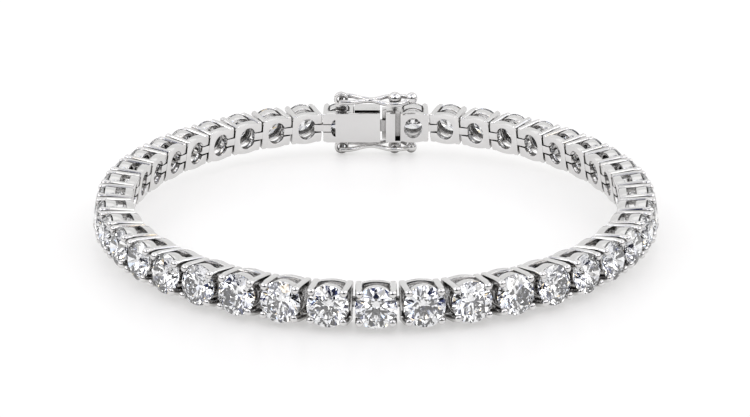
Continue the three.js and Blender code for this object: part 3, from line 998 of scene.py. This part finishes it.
def build_clasp(loop, gem):
    place = loop @ placement(0, pin_walk(closing_depth())[-1].y, math.pi)
    add_metal("clasp_box_metal", box_metal(), place, "bracelet", "clasp_box")
    add_metal("clasp_tongue_metal", tongue_metal(), place, "bracelet", "clasp_tongue")
    add_stone("stone_clasp_box", gem, place @ Matrix.Translation((END_STONE, 0, 0)))
    add_stone("stone_clasp_tongue", gem, place @ Matrix.Translation((-END_STONE, 0, 0)))
    wire = catch_metal()
    add_metal("catch_top_wire", wire, place, "catch_top", "safety_catch_top")
    lower = mirrored(wire, (0, 1, 0))
    add_metal("catch_bottom_wire", lower, place, "catch_bottom", "safety_catch_bottom")


# Stage, light and camera

def build_stage():
    h = FLOOR_HALF
    mesh = mesh_from("studio_floor", [(-h, -h, 0), (h, -h, 0), (h, h, 0), (-h, h, 0)], [(0, 1, 2, 3)])
    mesh.materials.append(floor_material())
    floor = bpy.data.objects.new("studio_floor", mesh)
    bpy.context.scene.collection.objects.link(floor)


def sky_panels(tree, under):
    """Breaks the sky up into dark, middling and bright panels, a few of them tinted."""
    nodes, links = tree.nodes, tree.links
    cells = nodes.new("ShaderNodeTexVoronoi")
    cells.inputs["Scale"].default_value = PANEL_SCALE
    links.new(nodes["Texture Coordinate"].outputs["Generated"], cells.inputs["Vector"])
    pick = nodes.new("ShaderNodeSeparateColor")
    links.new(cells.outputs["Color"], pick.inputs["Color"])
    ramp = nodes.new("ShaderNodeValToRGB")
    ramp.color_ramp.interpolation = "CONSTANT"
    stops = ramp.color_ramp.elements
    while len(stops) < len(PANEL_SHARES):
        stops.new(0.5)
    for stop, (place, colour) in zip(stops, PANEL_SHARES):
        stop.position = place
        stop.color = (*colour, 1)
    links.new(pick.outputs["Red"], ramp.inputs["Fac"])
    mix = nodes.new("ShaderNodeMix")
    mix.data_type = "RGBA"
    mix.blend_type = "MULTIPLY"
    mix.inputs["Factor"].default_value = 1.0
    links.new(under, mix.inputs["A"])
    links.new(ramp.outputs["Color"], mix.inputs["B"])
    return mix.outputs["Result"]


def sky_patch(tree, under, toward, inner, outer, grey):
    """Lays a soft-edged round patch of one grey over the sky; angles in degrees from its middle."""
    nodes, links = tree.nodes, tree.links
    along = nodes.new("ShaderNodeVectorMath")
    along.operation = "DOT_PRODUCT"
    along.inputs[1].default_value = Vector(toward).normalized()
    links.new(nodes["Texture Coordinate"].outputs["Generated"], along.inputs[0])
    mask = nodes.new("ShaderNodeMapRange")
    mask.interpolation_type = "SMOOTHSTEP"
    mask.inputs["From Min"].default_value = math.cos(math.radians(outer))
    mask.inputs["From Max"].default_value = math.cos(math.radians(inner))
    links.new(along.outputs["Value"], mask.inputs["Value"])
    mix = nodes.new("ShaderNodeMix")
    mix.data_type = "RGBA"
    links.new(mask.outputs["Result"], mix.inputs["Factor"])
    links.new(under, mix.inputs["A"])
    mix.inputs["B"].default_value = grey
    return mix.outputs["Result"]


def build_light():
    """A studio tent of random panels with a plain back wall and a dark opening at the camera.

    The camera itself sees plain white behind the floor.
    """
    world = bpy.data.worlds.new("studio")
    world.use_nodes = True
    bpy.context.scene.world = world
    tree = world.node_tree
    where = tree.nodes.new("ShaderNodeTexCoord")
    height = tree.nodes.new("ShaderNodeSeparateXYZ")
    tree.links.new(where.outputs["Generated"], height.inputs["Vector"])
    ramp = tree.nodes.new("ShaderNodeValToRGB")
    stops = ramp.color_ramp.elements
    while len(stops) < len(SKY_HEIGHTS):
        stops.new(0.5)
    for stop, (place, grey) in zip(stops, SKY_HEIGHTS):
        stop.position = place
        stop.color = (grey, grey, grey, 1)
    tree.links.new(height.outputs["Z"], ramp.inputs["Fac"])
    sky = sky_panels(tree, ramp.outputs["Color"])
    for toward, inner, outer, grey in SKY_PATCHES:
        sky = sky_patch(tree, sky, toward, inner, outer, (grey, grey, grey, 1))
    tent = tree.nodes["Background"]
    tree.links.new(sky, tent.inputs["Color"])
    plain = tree.nodes.new("ShaderNodeBackground")
    plain.inputs["Color"].default_value = (1, 1, 1, 1)
    path = tree.nodes.new("ShaderNodeLightPath")
    choose = tree.nodes.new("ShaderNodeMixShader")
    tree.links.new(path.outputs["Is Camera Ray"], choose.inputs["Fac"])
    tree.links.new(tent.outputs["Background"], choose.inputs[1])
    tree.links.new(plain.outputs["Background"], choose.inputs[2])
    tree.links.new(choose.outputs["Shader"], tree.nodes["World Output"].inputs["Surface"])


def build_camera(loop):
    camera = bpy.data.cameras.new("camera")
    camera.sensor_width = SENSOR_WIDTH
    camera.lens = VIEW_FOCAL_PX / PHOTO_WIDTH * camera.sensor_width
    camera.clip_start = 0.01
    camera.clip_end = 20
    item = bpy.data.objects.new("camera", camera)
    item.location = loop @ Vector((VIEW_SIDE, -VIEW_BACK, VIEW_UP))
    turn = loop.to_3x3().normalized()
    aim = turn @ Vector((0, math.cos(VIEW_TILT), -math.sin(VIEW_TILT)))
    item.rotation_euler = aim.to_track_quat("-Z", "Y").to_euler()
    bpy.context.scene.collection.objects.link(item)
    bpy.context.scene.camera = item


def main():
    bpy.context.scene.view_settings.view_transform = "Standard"
    loop = loop_frame()
    gem = brilliant()
    build_camera(loop)
    build_stage()
    build_light()
    build_chain(loop, gem)
    build_clasp(loop, gem)


main()
